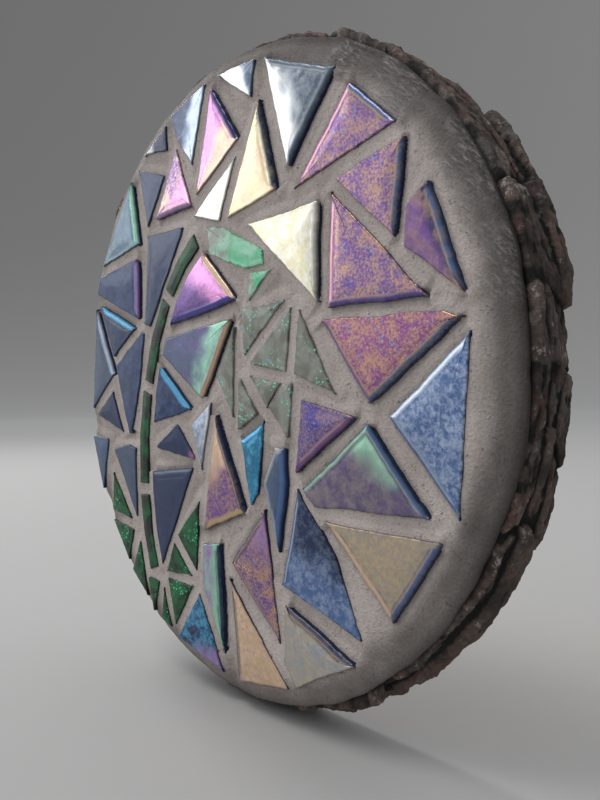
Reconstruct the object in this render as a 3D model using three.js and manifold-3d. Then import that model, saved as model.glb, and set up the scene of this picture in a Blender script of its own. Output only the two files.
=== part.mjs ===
// A round wall panel: a slice of tree trunk with its bark on, faced with a bed of grout that holds shards of
// glass tile. The shards show a drooping flower on a bent stem between two leaves, on a shimmering ground.
// Millimetres, +Z up. The back lies in the plane Y = 0 with the origin at its middle. The face looks along -Y.
// Everything is drawn in the panel's own plane first (x right, y up, z out of the face), and turned upright
// at the end.
import * as THREE from "three";
import { mergeVertices } from "three/addons/utils/BufferGeometryUtils.js";
import Module from "manifold-3d";

// The slice and its bed
const WOOD_THICK = 10;
const BED_THICK = 2.9;
const FACE_REACH = 76.6; // the bed's edge, from the middle of the panel
const BED_SLOPE = 1.6; // how far the bed's top draws in from its foot
const BARK_THICK = 2.3; // the bark's mean reach past the bed's edge
const BARK_PLATES = 22; // round the trunk
const BARK_LAYERS = 3; // through the slice
const BARK_STEP = 2; // from the lowest plate to the highest
const BARK_FURROW = 1.3;
const CLEAR = 0.3; // left between pieces that touch

// The glass
const TILE_THICK = 4;
const POCKET_FLOOR = 0.5; // of bed under each shard
const JOINT = 2.5; // grout between two shards
const RIM_INSET = 0.4; // a shard's outer edge, in from the line of rim knots
const STEM_WIDTH = 4.6;
const STEM_JOINT = 1.9; // grout on each side of the stem
const PILLOW = 0.8; // how far a moulded edge rounds in and down
const GLASS_REACH = 72.6; // the mean reach of the rim of shards
const GLASS_SHIFT = 2; // to the left
const GLASS_LIFT = 0.2;
const GLASS_OVAL = 1.1; // taller than wide, by this each way

const LATHE_STEPS = 120; // facets round the slice

const radians = THREE.MathUtils.degToRad;
const point = ([x, y]) => new THREE.Vector2(x, y);
const at = (bearing, reach) => new THREE.Vector2(reach, 0).rotateAround(new THREE.Vector2(), radians(bearing));

// The knots are the points where joints meet, as x and y from the middle of the panel, region by region.
const TOP = [
  [7.8, 61.8], [4, 55.5], [-5.3, 36], [17, 40.3], [1.5, 36.6], [31.5, 40.5], [29.5, 12], [51, 22.5],
  [61.5, 12], [-20.3, 40.3], [-25.5, 61.8], [-16.8, 50.8], [-27.8, 54.5], [-40.7, 40.6], [38.3, 60.3],
  [17.3, 37.8], [18.8, 43], [54.5, 46], [59, 37], [51.5, 31.5], [26.7, 12.6], [10.2, 67], [-24, 62.5],
  [-37, 41.5], [-16, 42.7], [-18, 43], [-45, 60], [-39.5, 38.5], [-44.5, 60.5], [-26.8, 58.3],
  [30.2, 37.6],
];
const LEFT = [
  [-43.5, 35.6], [-43.3, 14.8], [-57.3, 1.6], [-51.5, -17], [-62, -19], [-21, -11.5], [-16.5, -8.8],
  [-14, -7.3], [-16.5, -21.3], [-59.5, 5], [-59.3, -0.8], [-42.3, 36.5], [-61.5, -23], [-45.3, -41.3],
  [-45.3, -43.6],
];
const BELOW = [
  [42.3, -8.6], [18.8, -24.5], [26, -29.8], [13.3, -48], [14.5, -65], [10.5, -27.5], [4, -33],
  [-6, -45], [-16.2, -40.5], [-9.5, -5], [-15, -28], [12.5, -14.8], [7.6, -24.5], [14.3, -45.5],
  [18.2, -25], [45.5, -8.8], [65.6, -30.6], [16.3, -64], [20.3, -22], [42.3, -56.6], [34.5, -38.5],
  [20.5, -24.8], [48.2, -51.3], [60.5, -29], [-6.8, -39.3], [15, -49.3], [11.8, -7.8], [8.6, -28],
  [-8.6, -3.2],
];
const BLOOM = [
  [1.8, 2], [0.8, 17], [21.8, 18], [18.8, -1], [36.5, -7], [21.5, -3.8], [11, -10], [18.3, -15],
  [-0.6, -14.2], [-9.5, 0], [2.8, 17.3], [0.8, 15.5],
];
const CALYX = [
  [-13, 39], [-11.5, 29.2], [3.8, 23.4], [12, 23.8], [11.8, 29.5], [-4, 37.5], [3.8, 25.3], [3.6, 14.6],
  [16.8, 25],
];
const LEAF = [[-47, -41], [-29, -41], [-17, -52], [-34.5, -53], [-33.5, -51.5]];

// The rim's knots are bearings, counterclockwise from the right. The glass stops short on the right.
const RIM = [97, 82, 60, 41, 8, 334, 304, 285, 268, 266, 247, 237, 226, 212, 188, 160, 154, 129, 112];
const rimReach = (bearing) => {
  const [cosine, sine] = at(bearing, 1).toArray();
  return GLASS_REACH - GLASS_SHIFT * cosine + GLASS_LIFT * sine - GLASS_OVAL * Math.cos(radians(2 * bearing));
};

// The stem is one bend from under the calyx to between the leaves, with knots along it.
const STEM = new THREE.CubicBezierCurve(...[[-15, 35], [-38, 23], [-51, -20], [-38, -53]].map(point));
const STEM_KNOTS = [0, 0.12, 0.24, 0.36, 0.41, 0.51, 0.63, 0.67, 0.78, 0.88, 1, 0.72];
const BLADES = [[0, 2], [2, 5], [5, 8], [8, 10]]; // the stem knots that each of its shards runs between

const KNOTS = {
  t: TOP.map(point),
  w: LEFT.map(point),
  b: BELOW.map(point),
  f: BLOOM.map(point),
  c: CALYX.map(point),
  l: LEAF.map(point),
  r: RIM.map((bearing) => at(bearing, rimReach(bearing))),
  s: STEM_KNOTS.map((share) => STEM.getPoint(share)),
};

// Each shard is the ground between its knots, counterclockwise, listed under the look of its glass. A knot's
// name is its region's letter and its place in that region's list.
const GROUND = {
  violet: ["t15 r3 t14", "t5 t7 t17", "t6 t8 t5", "t20 b0 r4 t8", "f5 b1 b0", "b5 b7 b17"],
  navy: ["t7 r4 t18 t19", "t13 w1 s3 s1 t9", "r16 r15 w1 w0", "w9 w3 s6 s5 s3 w1", "t26 t27 t12",
    "t28 t29 r18", "s4 s5 s6 w6", "s11 s8 s9 s10 l3 w8"],
  slate: ["r15 r14 w2", "r15 w9 w1", "w10 r14 w3", "b11 b12 b13 b14 f7", "w3 w4 w14 s8 s7"],
  steel: ["b15 b16 r4", "b18 b3 b19 b20"],
  verdigris: ["b0 b21 b2 b23", "r17 r16 w11", "b8 l2 r9 b24"],
  gold: ["b2 b22 r5", "t21 t2 t3", "b7 r8 r7"],
  pearl: ["b25 b4 r7 r6", "t4 t6 t30", "r1 t16 r2", "t9 t2 t1", "t0 r1 r0", "r18 t10 t11 r0"],
  rose: ["r0 t25 t1", "t22 t23 t24", "s0 s1 s2 s3 f10", "b9 b8 b6"],
  azure: ["b26 f8 b6 b27", "s3 s4 w7 f11", "l2 r10 r9", "b28 w5 b10"],
};
const FIGURE = {
  petal: ["f2 f1 f0", "f2 f0 f3", "f0 f6 f3", "f2 f3 f4", "f1 f9 f8"],
  calyx: ["c0 c1 c2 c3 c4 c5", "c6 c7 c8"],
  leaf: ["w12 r13 l0", "l0 r13 r12", "w13 r12 r11", "b10 l1 l2", "l1 l3 l2", "l4 r10 l2"],
};

const LOOKS = {
  violet: { color: 0x8a6690, roughness: 0.25, metalness: 0.5 },
  navy: { color: 0x343f63, roughness: 0.2, metalness: 0.4 },
  slate: { color: 0x56617a, roughness: 0.2, metalness: 0.4 },
  steel: { color: 0x5c7da6, roughness: 0.25, metalness: 0.5 },
  verdigris: { color: 0x7f9f94, roughness: 0.25, metalness: 0.5 },
  gold: { color: 0xc2a67e, roughness: 0.25, metalness: 0.5 },
  pearl: { color: 0xd9d9d2, roughness: 0.2, metalness: 0.4 },
  rose: { color: 0xc98fb4, roughness: 0.25, metalness: 0.5 },
  azure: { color: 0x5b8fb4, roughness: 0.2, metalness: 0.5 },
  petal: { color: 0x98a092, roughness: 0.2, metalness: 0 },
  leaf: { color: 0x10522d, roughness: 0.2, metalness: 0 },
  stem: { color: 0x182c22, roughness: 0.2, metalness: 0 },
  calyx: { color: 0x74ab88, roughness: 0.2, metalness: 0 },
  grout: { color: 0xa39a92, roughness: 0.95, metalness: 0 },
  bark: { color: 0x4a3a33, roughness: 0.95, metalness: 0 },
};

const wasm = await Module();
wasm.setup();

// What is left of a convex outline once it is cut along the line through a and b, moved inward by the inset.
function clip(outline, a, b, inset) {
  const along = b.clone().sub(a).normalize();
  const inward = new THREE.Vector2(-along.y, along.x);
  const depth = (p) => p.clone().sub(a).dot(inward) - inset;
  return outline.flatMap((p, i) => {
    const next = outline[(i + 1) % outline.length];
    const [from, to] = [depth(p), depth(next)];
    const kept = from >= 0 ? [p] : [];
    return from >= 0 === to >= 0 ? kept : [...kept, p.clone().lerp(next, from / (from - to))];
  });
}

// Moves every side of a convex outline in by the same amount. The corners keep their number.
function drawIn(outline, amount) {
  return outline.map((corner, i) => {
    const before = corner.clone().sub(outline.at(i - 1)).normalize();
    const after = outline[(i + 1) % outline.length].clone().sub(corner).normalize();
    const slide = after.clone().sub(before).multiplyScalar(amount / before.cross(after));
    return corner.clone().add(slide);
  });
}

// How far in from the line between two knots a shard's edge lies.
function insetOf(from, to) {
  const kinds = from[0] + to[0];
  if (kinds === "rr") return RIM_INSET;
  return kinds === "ss" ? STEM_WIDTH / 2 + STEM_JOINT : JOINT / 2;
}

// The outline of a shard: the ground between its knots, less half of each joint.
function shardOutline(names) {
  const knots = names.map((name) => KNOTS[name[0]][Number(name.slice(1))]);
  return knots.reduce((outline, knot, i) => {
    const next = (i + 1) % knots.length;
    return clip(outline, knot, knots[next], insetOf(names[i], names[next]));
  }, knots);
}

// The outline of a blade of the stem: the stretch of the stem between two of its knots.
function bladeOutline([first, last]) {
  const [start, end] = [STEM_KNOTS[first], STEM_KNOTS[last]];
  const trim = JOINT / 2 / STEM.getLength();
  const side = (share, out) => {
    const tangent = STEM.getTangent(share);
    return STEM.getPoint(share).add(new THREE.Vector2(-tangent.y, tangent.x).multiplyScalar(out));
  };
  const shares = [start + trim, (start + end) / 2, end - trim];
  const half = STEM_WIDTH / 2;
  return [...shares.map((share) => side(share, -half)), ...shares.reverse().map((share) => side(share, half))];
}

// A closed body through rings of the same number of points, from the back to the face, capped about the
// middle of each end.
function loft(rings) {
  const count = rings[0].points.length;
  const middle = ({ points, z }) => {
    const sum = points.reduce((total, p) => total.add(p), new THREE.Vector2()).divideScalar(count);
    return [sum.x, sum.y, z];
  };
  if (rings.some(({ points }) => points.length !== count)) throw new Error("a ring lost a corner");
  const vertices = rings.flatMap(({ points, z }) => points.flatMap((p) => [p.x, p.y, z]));
  vertices.push(...middle(rings[0]), ...middle(rings.at(-1)));
  const [backCap, faceCap] = [rings.length * count, rings.length * count + 1];
  const top = (rings.length - 1) * count;
  const faces = [];
  for (let i = 0; i < count; i++) {
    const j = (i + 1) % count;
    faces.push(backCap, j, i, faceCap, top + i, top + j);
    for (let level = 0; level < top; level += count) {
      faces.push(level + i, level + j, level + count + j, level + i, level + count + j, level + count + i);
    }
  }
  const geometry = new THREE.BufferGeometry();
  geometry.setAttribute("position", new THREE.Float32BufferAttribute(vertices, 3));
  geometry.setIndex(faces);
  return geometry;
}

// A geometry as a solid that can be cut, and back.
function solidOf(geometry) {
  const merged = mergeVertices(geometry);
  return new wasm.Manifold(
    new wasm.Mesh({
      numProp: 3,
      vertProperties: merged.attributes.position.array,
      triVerts: new Uint32Array(merged.index.array),
    }),
  );
}
function geometryOf(solid) {
  const mesh = solid.getMesh();
  const geometry = new THREE.BufferGeometry();
  geometry.setAttribute("position", new THREE.BufferAttribute(mesh.vertProperties, 3));
  geometry.setIndex(new THREE.BufferAttribute(mesh.triVerts, 1));
  return geometry;
}

// The bed's edge wanders a little, as the trunk does.
const faceReach = (bearing) =>
  FACE_REACH + 0.7 * Math.sin(radians(bearing - 20)) + 0.5 * Math.sin(radians(3 * bearing + 40));

// A number from 0 to 1 that looks random and is always the same for the same place.
function scatter(place) {
  const wave = Math.sin(place * 12.9898) * 43758.5453;
  return wave - Math.floor(wave);
}

// Bark: plates round the trunk, of uneven width and parted by furrows, each broken into layers that stand out
// more or less than the next. The height runs from 0 at the slice's back to 1 at its face.
function barkReach(bearing, height) {
  const drift = 0.5 * Math.sin(radians(5 * bearing)) + 0.3 * Math.sin(4 * height);
  const place = (BARK_PLATES * bearing) / 360 + drift;
  const plate = (Math.floor(place) + BARK_PLATES) % BARK_PLATES;
  const side = place - Math.floor(place);
  const furrow = Math.exp(-((Math.min(side, 1 - side) / 0.12) ** 2));
  const layer = Math.min(BARK_LAYERS - 1, Math.floor(BARK_LAYERS * height));
  const lump = scatter(plate + BARK_PLATES * layer) - 0.5;
  return faceReach(bearing) + BARK_THICK + BARK_STEP * lump - BARK_FURROW * furrow;
}

function round(reach, inset = 0) {
  return Array.from({ length: LATHE_STEPS }, (_, i) => {
    const bearing = (360 * i) / LATHE_STEPS;
    return at(bearing, reach(bearing) - inset);
  });
}

function woodSlice() {
  const levels = [
    { height: 0, inset: 1.2 },
    { height: 0.1, inset: 0.2 },
    { height: 0.3, inset: 0 },
    { height: 0.4, inset: 0 },
    { height: 0.6, inset: 0.1 },
    { height: 0.72, inset: 0.3 },
    { height: 1, inset: 0.9 },
  ];
  return loft(
    levels.map(({ height, inset }) => ({
      points: round((bearing) => barkReach(bearing, height), inset),
      z: height * WOOD_THICK,
    })),
  );
}

const bedFoot = WOOD_THICK + CLEAR;
const bedTop = bedFoot + BED_THICK;
const glassFoot = bedFoot + POCKET_FLOOR + CLEAR;

function groutBed(outlines) {
  const rings = [
    { z: bedFoot, inset: 0 },
    { z: bedFoot + 0.5 * BED_THICK, inset: 0.25 * BED_SLOPE },
    { z: bedTop, inset: BED_SLOPE },
  ];
  const bed = solidOf(loft(rings.map(({ z, inset }) => ({ points: round(faceReach, inset), z }))));
  const pockets = outlines.map((outline) =>
    solidOf(
      loft([
        { points: drawIn(outline, -CLEAR), z: bedFoot + POCKET_FLOOR },
        { points: drawIn(outline, -CLEAR), z: bedTop + TILE_THICK },
      ]),
    ),
  );
  return geometryOf(pockets.reduce((left, pocket) => left.subtract(pocket), bed));
}

// A shard of tile: upright sides, and a top that rounds over at its edges.
function shard(outline) {
  const top = glassFoot + TILE_THICK;
  return loft([
    { points: outline, z: glassFoot },
    { points: outline, z: top - PILLOW },
    { points: drawIn(outline, 0.3 * PILLOW), z: top - 0.35 * PILLOW },
    { points: drawIn(outline, PILLOW), z: top },
  ]);
}

const shards = [
  ...Object.entries({ ...GROUND, ...FIGURE }).flatMap(([look, list]) =>
    list.map((names, i) => ({
      name: `${look}_shard_${i + 1}`,
      look,
      outline: shardOutline(names.split(" ")),
    })),
  ),
  ...BLADES.map((span, i) => ({
    name: `stem_shard_${i + 1}`,
    look: "stem",
    outline: bladeOutline(span),
  })),
];

const panel = new THREE.Group();
panel.rotation.x = Math.PI / 2;
function add(name, look, geometry) {
  const mesh = new THREE.Mesh(geometry, new THREE.MeshStandardMaterial(LOOKS[look]));
  mesh.name = name;
  panel.add(mesh);
}
add("wood_slice", "bark", woodSlice());
add("grout_bed", "grout", groutBed(shards.map(({ outline }) => outline)));
for (const { name, look, outline } of shards) add(name, look, shard(outline));

export default panel;
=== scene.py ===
import logging
import math
from dataclasses import dataclass, field
from enum import Enum

import bpy
import numpy as np
from mathutils import Matrix, Vector


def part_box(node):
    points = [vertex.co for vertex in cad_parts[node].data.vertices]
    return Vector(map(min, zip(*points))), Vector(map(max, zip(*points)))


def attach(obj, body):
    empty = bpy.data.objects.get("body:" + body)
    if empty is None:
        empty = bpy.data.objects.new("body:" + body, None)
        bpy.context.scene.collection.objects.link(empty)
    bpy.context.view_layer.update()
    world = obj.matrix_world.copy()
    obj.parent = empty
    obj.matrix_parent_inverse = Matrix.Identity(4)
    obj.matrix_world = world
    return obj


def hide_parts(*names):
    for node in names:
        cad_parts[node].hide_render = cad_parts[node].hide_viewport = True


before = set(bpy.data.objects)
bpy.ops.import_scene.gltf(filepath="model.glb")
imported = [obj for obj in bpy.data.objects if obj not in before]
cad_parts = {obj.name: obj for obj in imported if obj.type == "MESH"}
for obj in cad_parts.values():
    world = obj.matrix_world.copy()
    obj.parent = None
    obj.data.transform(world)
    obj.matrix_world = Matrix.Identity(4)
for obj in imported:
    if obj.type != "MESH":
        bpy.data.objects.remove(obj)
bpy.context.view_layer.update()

LOG = logging.getLogger("mosaic_panel")

MM = 0.001
TURN = 2.0 * math.pi
FACE_REACH = 76.6 * MM
WOOD_THICK = 10.0 * MM
BED_THICK = 2.9 * MM
TILE_THICK = 4.0 * MM
POCKET_FLOOR = 0.5 * MM
CLEAR = 0.3 * MM  # between pieces that touch
BED_TOP = WOOD_THICK + CLEAR + BED_THICK
GLASS_FOOT = WOOD_THICK + CLEAR + POCKET_FLOOR + CLEAR
GLASS_TOP = GLASS_FOOT + TILE_THICK

Colour = tuple[float, float, float, float]


# ---------------------------------------------------------------- numbers and noise


def smooth(low: float, high: float, value: np.ndarray) -> np.ndarray:
    """Eases from 0 to 1: t = clip((v - low) / (high - low)), result t * t * (3 - 2 t).

    Args:
        low: Value where the result leaves 0.
        high: Value where it reaches 1, above low or below it.
        value: Values to ease.

    Returns:
        The eased values.
    """
    share = np.clip((value - low) / (high - low), 0.0, 1.0)
    return share * share * (3.0 - 2.0 * share)


def lattice(cell: np.ndarray, seed: float) -> np.ndarray:
    """Gives each cell of a lattice its own number: frac(43758.5453 sin(dot(cell, k) + seed)).

    Args:
        cell: Whole-number places, (..., 3).
        seed: Picks another set of numbers.

    Returns:
        Numbers from 0 to 1, (...).
    """
    spread = np.sin(cell @ np.array([12.9898, 78.233, 37.719]) + seed) * 43758.5453
    return spread - np.floor(spread)


def grain(place: np.ndarray, seed: float = 0.0, octaves: int = 3) -> np.ndarray:
    """Layered value noise: sum over k of 2^-k n(2^k p), where n eases between the lattice's numbers.

    Args:
        place: Points in units of the coarsest lump, (..., 3).
        seed: Picks another pattern.
        octaves: How many layers are added.

    Returns:
        Noise from about -1 to 1, (...).
    """
    total = np.zeros(place.shape[:-1])
    weight = 0.0
    for octave in range(octaves):
        point = place * 2.0**octave + 17.3 * octave
        cell = np.floor(point)
        part = point - cell
        part = part * part * (3.0 - 2.0 * part)
        layer = np.zeros(total.shape)
        for corner in np.ndindex(2, 2, 2):
            near = np.prod(np.where(np.array(corner) > 0, part, 1.0 - part), axis=-1)
            layer += near * lattice(cell + np.array(corner), seed + octave)
        total += (2.0 * layer - 1.0) * 0.5**octave
        weight += 0.5**octave
    return total / weight


def flat_grain(across: np.ndarray, up: np.ndarray, lump: float, seed: float, octaves: int) -> np.ndarray:
    """Layered noise over the face: grain at (across, up, 0) / lump.

    Args:
        across: To the right, metres.
        up: Upwards, metres.
        lump: Size of the coarsest lumps, metres.
        seed: Picks another pattern.
        octaves: How many layers are added.

    Returns:
        Noise from about -1 to 1, shaped like across.
    """
    return grain(np.stack([across, up, 0.0 * up], axis=-1) / lump, seed, octaves)


def unit_ring(bearing: np.ndarray) -> np.ndarray:
    """The points (cos b, sin b, 0), where noise closes on itself round the trunk."""
    return np.stack([np.cos(bearing), np.sin(bearing), 0.0 * bearing], axis=-1)


def spot(across: np.ndarray, up: np.ndarray, out: np.ndarray) -> np.ndarray:
    """Panel coordinates to the frame: x = across, y = -out, z = up.

    Args:
        across: To the right on the face, metres.
        up: Upwards on the face, metres.
        out: Out of the wall, metres.

    Returns:
        Points in the frame, (..., 3).
    """
    return np.stack(np.broadcast_arrays(across, -out, up), axis=-1)


def polar(bearing: np.ndarray, reach: np.ndarray, out: np.ndarray) -> np.ndarray:
    """Frame points at a bearing and a reach on the face: spot(r cos b, r sin b, out)."""
    return spot(reach * np.cos(bearing), reach * np.sin(bearing), out)


def face_reach(bearing: np.ndarray) -> np.ndarray:
    """How far the sawn face reaches: R + 0.7 sin(b - 20) + 0.5 sin(3 b + 40), in millimetres and degrees.

    Args:
        bearing: Bearings in radians, from the right, anticlockwise.

    Returns:
        Reach in metres.
    """
    lean = 0.7 * MM * np.sin(bearing - math.radians(20.0))
    lobes = 0.5 * MM * np.sin(3.0 * bearing + math.radians(40.0))
    return FACE_REACH + lean + lobes


def turned_to(facing: np.ndarray, bearing: float) -> np.ndarray:
    """Which edges face a bearing: ease(0.70, 0.86, cos(facing - bearing)).

    Args:
        facing: Bearings of the edges, radians.
        bearing: The bearing asked about, degrees.

    Returns:
        1 where an edge faces it, easing to 0 at about 45 degrees from it.
    """
    return smooth(0.70, 0.86, np.cos(facing - math.radians(bearing)))


# ---------------------------------------------------------------- meshes


def grid_quads(rings: int, steps: int) -> np.ndarray:
    """Quads between the rings of a grid that closes round: (i, j), (i, j + 1), (i + 1, j + 1), (i + 1, j).

    Args:
        rings: How many rings.
        steps: Points in each ring.

    Returns:
        Point numbers, ((rings - 1) * steps, 4).
    """
    here = np.arange(steps)
    there = np.roll(here, -1)
    start = (np.arange(rings - 1) * steps)[:, None]
    quads = [start + here, start + there, start + steps + there, start + steps + here]
    return np.stack(quads, axis=-1).reshape(-1, 4)


def link_mesh(name: str, points: np.ndarray, faces: list[list[int]]) -> bpy.types.Object:
    """Makes a smooth-shaded mesh object and links it.

    Args:
        name: Its name.
        points: Its points, (n, 3), metres.
        faces: Point numbers of each face.

    Returns:
        The object.
    """
    mesh = bpy.data.meshes.new(name)
    mesh.from_pydata(points.tolist(), [], faces)
    mesh.polygons.foreach_set("use_smooth", np.ones(len(mesh.polygons), dtype=bool))
    mesh.update()
    piece = bpy.data.objects.new(name, mesh)
    bpy.context.scene.collection.objects.link(piece)
    return piece


@dataclass
class Skin:
    """A closed surface carried on a grid: rows of rings, each pole closed with a fan."""

    name: str
    rows: np.ndarray
    paints: dict[str, np.ndarray] = field(default_factory=dict)

    def build(self) -> bpy.types.Object:
        """Makes the object: point (i, j) is rows[i, j], and both end rings close on their mean.

        Returns:
            The linked object, with its colours as point attributes and faces turned outwards.
        """
        rings, steps, _ = self.rows.shape
        poles = np.stack([self.rows[0].mean(axis=0), self.rows[-1].mean(axis=0)])
        points = np.concatenate([self.rows.reshape(-1, 3), poles])
        here = np.arange(steps)
        there = np.roll(here, -1)
        quads = grid_quads(rings, steps)
        first = rings * steps
        last = first - steps
        low = np.stack([np.full(steps, first), there, here], axis=-1)
        high = np.stack([np.full(steps, first + 1), last + here, last + there], axis=-1)
        fans = np.concatenate([low, high])
        corners = np.concatenate([points[quads[:, [0, 1, 2]]], points[quads[:, [0, 2, 3]]], points[fans]])
        volume = np.einsum("ij,ij->i", corners[:, 0], np.cross(corners[:, 1], corners[:, 2])).sum()
        if volume < 0.0:
            quads = quads[:, ::-1]
            fans = fans[:, ::-1]
        piece = link_mesh(self.name, points, quads.tolist() + fans.tolist())
        for name, paint in self.paints.items():
            ends = np.stack([paint[0].mean(axis=0), paint[-1].mean(axis=0)])
            shown = np.concatenate([paint.reshape(-1, 4), ends])
            layer = piece.data.attributes.new(name, "FLOAT_COLOR", "POINT")
            layer.data.foreach_set("color", shown.astype(np.float32).ravel())
        return piece


def node_outline(name: str) -> np.ndarray:
    """Outline of a CAD shard: the corners of its upright walls on its foot, in order of bearing.

    Args:
        name: The CAD node.

    Returns:
        Corners (across, up) in metres, anticlockwise, (n, 2).
    """
    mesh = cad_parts[name].data
    points = np.empty(len(mesh.vertices) * 3)
    mesh.vertices.foreach_get("co", points)
    points = points.reshape(-1, 3)
    mesh.calc_loop_triangles()
    faces = np.empty(len(mesh.loop_triangles) * 3, dtype=np.int32)
    mesh.loop_triangles.foreach_get("vertices", faces)
    corners = points[faces.reshape(-1, 3)]
    foot = corners[..., 1].max()
    low = corners[..., 1] > foot - 0.05 * MM
    wall = low.any(axis=1) & ~low.all(axis=1)
    ring = np.unique(np.round(corners[wall][low[wall]][:, [0, 2]], 6), axis=0)
    middle = ring.mean(axis=0)
    return ring[np.argsort(np.arctan2(ring[:, 1] - middle[1], ring[:, 0] - middle[0]))]


def worn_outline(corners: np.ndarray, steps: int, round_off: float, wobble: float, seed: float) -> np.ndarray:
    """Rounds an outline's corners and nibbles its edges.

    The outline is walked at even steps, and each point becomes the mean over a window of round_off,
    done twice. It then moves inwards by wobble (0.5 + n), where n is fine and long noise along the edge.

    Args:
        corners: Sharp corners, (n, 2), metres.
        steps: Points in the result.
        round_off: Length of the window, metres.
        wobble: Largest bite from an edge, metres.
        seed: Picks the bites.

    Returns:
        The worn outline, (steps, 2).
    """
    finer = 6  # points walked for each one kept
    closed = np.vstack([corners, corners[:1]])
    walk = np.concatenate([[0.0], np.cumsum(np.linalg.norm(np.diff(closed, axis=0), axis=1))])
    count = steps * finer
    at = np.arange(count) * walk[-1] / count
    line = np.stack([np.interp(at, walk, closed[:, 0]), np.interp(at, walk, closed[:, 1])], axis=1)
    window = max(1, int(round(round_off / walk[-1] * count)) // 2)
    kernel = np.ones(2 * window + 1) / (2 * window + 1)
    for _ in range(2):
        wrapped = np.vstack([line[-window:], line, line[:window]])
        line = np.stack([np.convolve(wrapped[:, k], kernel, mode="valid") for k in range(2)], axis=1)
    ahead = np.roll(line, -3, axis=0) - np.roll(line, 3, axis=0)
    inward = np.stack([-ahead[:, 1], ahead[:, 0]], axis=1)
    inward /= np.linalg.norm(inward, axis=1)[:, None]
    bite = 0.5 * flat_grain(line[:, 0], line[:, 1], 1.6 * MM, seed, 3)
    bite += 0.8 * flat_grain(line[:, 0], line[:, 1], 9.0 * MM, seed + 5.0, 2)
    line = line + inward * (wobble * np.clip(0.5 + bite, 0.0, 1.2))[:, None]
    return line[::finer]


@dataclass
class EdgeField:
    """How far points lie from an outline, and which way the nearest edge faces."""

    outline: np.ndarray

    def measure(self, points: np.ndarray) -> tuple[np.ndarray, np.ndarray]:
        """Distance to the nearest segment a + t (b - a), t clipped to 0..1, for every point at once.

        Args:
            points: Places (across, up), (n, 2), metres.

        Returns:
            Distances (n,) and outward bearings of the nearest segments (n,), radians.
        """
        start = self.outline
        along = np.roll(start, -1, axis=0) - start
        length = (along**2).sum(axis=1)
        gap = points[:, None, :] - start[None, :, :]
        share = np.clip((gap * along).sum(axis=-1) / length, 0.0, 1.0)
        off = gap - share[..., None] * along
        distance = np.sqrt((off**2).sum(axis=-1))
        nearest = distance.argmin(axis=1)
        facing = np.arctan2(-along[:, 0], along[:, 1])
        spread = np.stack([np.cos(facing), np.sin(facing)], axis=1)
        for _ in range(2):
            spread = spread + np.roll(spread, 1, axis=0) + np.roll(spread, -1, axis=0)
        facing = np.arctan2(spread[:, 1], spread[:, 0])
        return distance[np.arange(len(points)), nearest], facing[nearest]


# ---------------------------------------------------------------- colours


class Tone(Enum):
    """Colours of the glass films, as light on a screen, 0 to 255."""

    PLUM = (124, 90, 154)
    LILAC = (168, 132, 190)
    AMBER = (206, 168, 124)
    WINE = (150, 84, 140)
    INDIGO = (84, 78, 160)
    SKY = (92, 178, 222)
    TEAL = (44, 128, 160)
    NAVY = (38, 54, 90)
    INK = (30, 38, 70)
    DUSK = (54, 65, 96)
    SLATE = (84, 99, 120)
    STEEL = (84, 112, 162)
    COBALT = (70, 98, 140)
    FROST = (198, 212, 232)
    WHITE = (248, 250, 250)
    CREAM = (234, 224, 184)
    SILVER = (168, 174, 178)
    STONE = (172, 164, 148)
    SAND = (208, 182, 148)
    PEACH = (240, 206, 176)
    ROSE = (236, 164, 222)
    MINT = (160, 214, 186)
    JADE = (104, 150, 142)
    SAGE = (116, 116, 104)
    MAUVE = (108, 94, 132)
    SMOKE = (146, 150, 140)
    BOTTLE = (12, 26, 19)
    EMERALD = (6, 92, 50)
    FERN = (14, 168, 88)
    GLINT = (112, 246, 190)
    PALE_GREEN = (96, 200, 146)

    def linear(self) -> np.ndarray:
        """The tone as linear light, ((v + 0.055) / 1.055)^2.4, with full cover."""
        share = np.array(self.value) / 255.0
        light = np.where(share <= 0.04045, share / 12.92, ((share + 0.055) / 1.055) ** 2.4)
        return np.append(light, 1.0)


@dataclass(frozen=True)
class Lustre:
    """How the film lies on one shard.

    body covers it and fleck mottles it. sweep (tone, bearing, start) takes over towards a bearing, from
    start to the far end, -1 to 1 across the shard. Each edge (bearing, tone) colours the moulded shoulder
    that faces there, and side colours the upright sides. Bearings are in degrees. The colours are partly
    the film's own and partly painted light: white, cream and peach bodies, the pink of the first rose
    shard, and white, frost, cream and peach sweeps are painted reflection of a bright window; bright edge
    tones are painted highlights; navy and cobalt edge tones are the dark glass side with painted shade.
    """

    body: Tone
    fleck: Tone
    share: float = 0.6
    sweep: tuple[Tone, float, float] | None = None
    edges: tuple[tuple[float, Tone], ...] = ()
    side: Tone = Tone.NAVY


# The films' tones are partly their own and partly painted light: pale bodies and sweeps are painted
# reflection of a bright window, bright edge tones painted highlights, navy and cobalt ones painted shade.
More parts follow.
